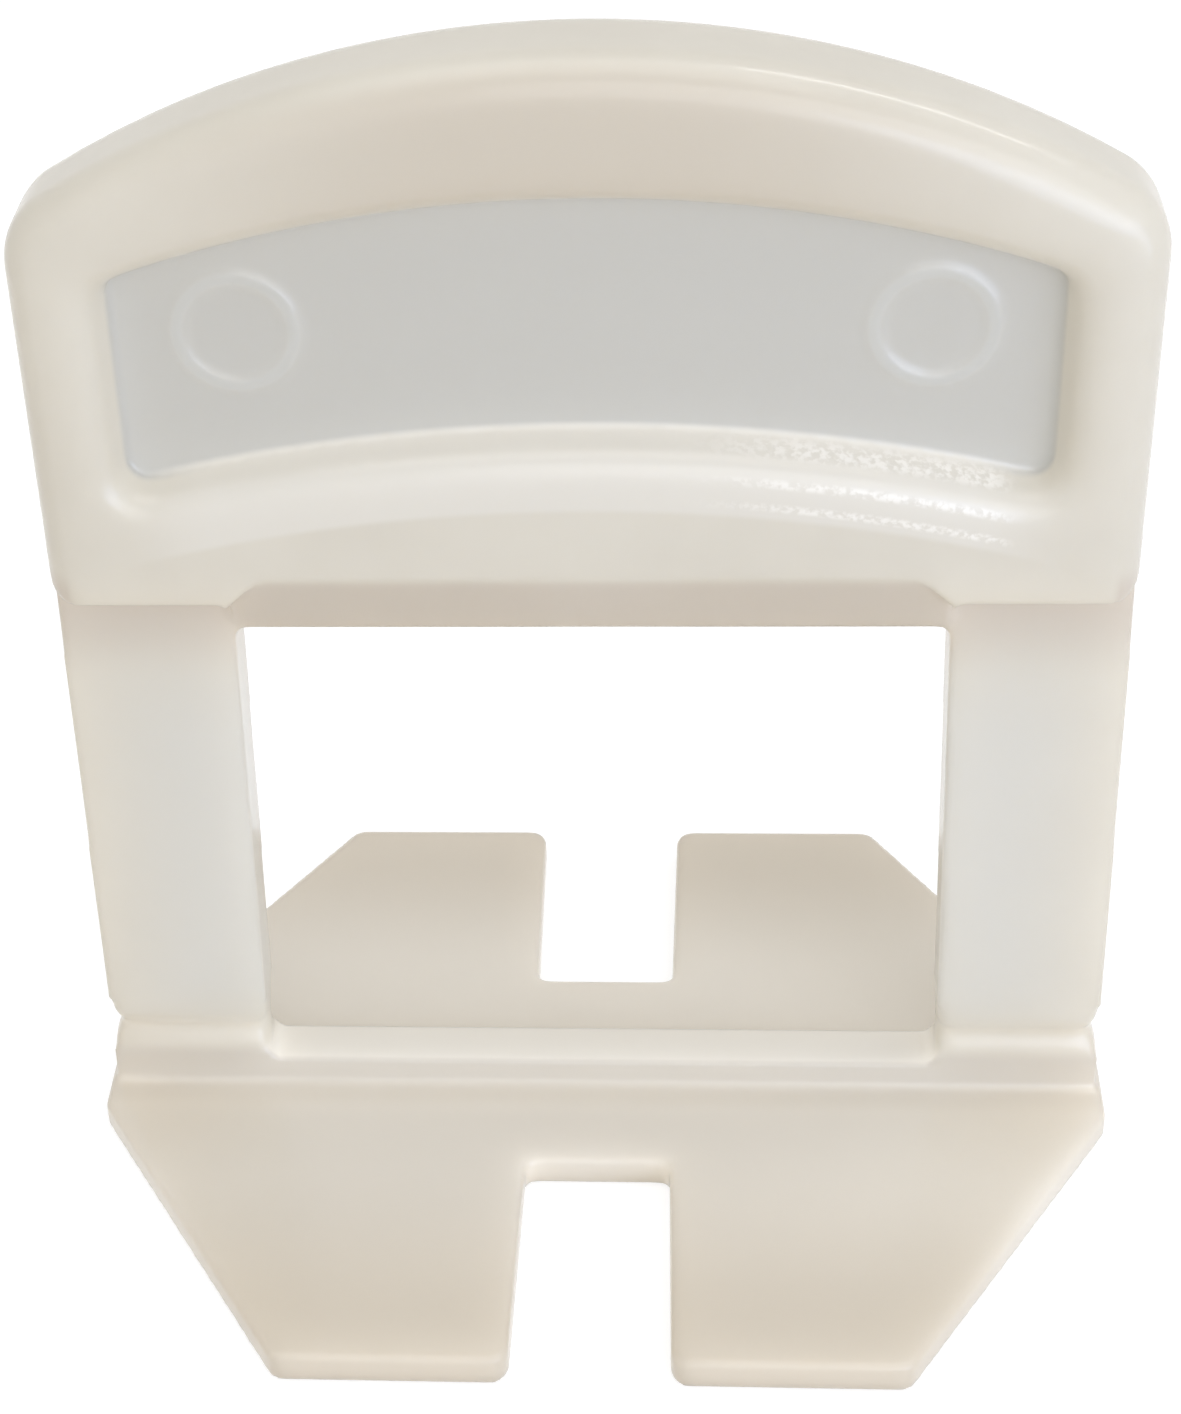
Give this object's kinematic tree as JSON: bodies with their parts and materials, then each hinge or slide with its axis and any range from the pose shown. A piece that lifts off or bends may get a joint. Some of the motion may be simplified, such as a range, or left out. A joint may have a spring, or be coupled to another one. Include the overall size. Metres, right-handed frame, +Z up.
{
  "type": "tile levelling clip",
  "caption": "Moulded tile levelling clip: slotted base plate, thin upright with a wedge window and break groove, and an arched grip head with a recessed web.",
  "frame": {"origin": "under the middle of the base plate, on the adhesive bed", "axes": "+X along the tile joint, +Y through the wedge window, +Z up to the grip head"},
  "size_m": [0.0406, 0.0324, 0.0458],
  "materials": {
    "natural_polypropylene": "uncoloured polypropylene, milky and slightly translucent, satin from the mould"
  },
  "bodies": {
    "root": {"clip": "natural_polypropylene"}
  },
  "joints": []
}
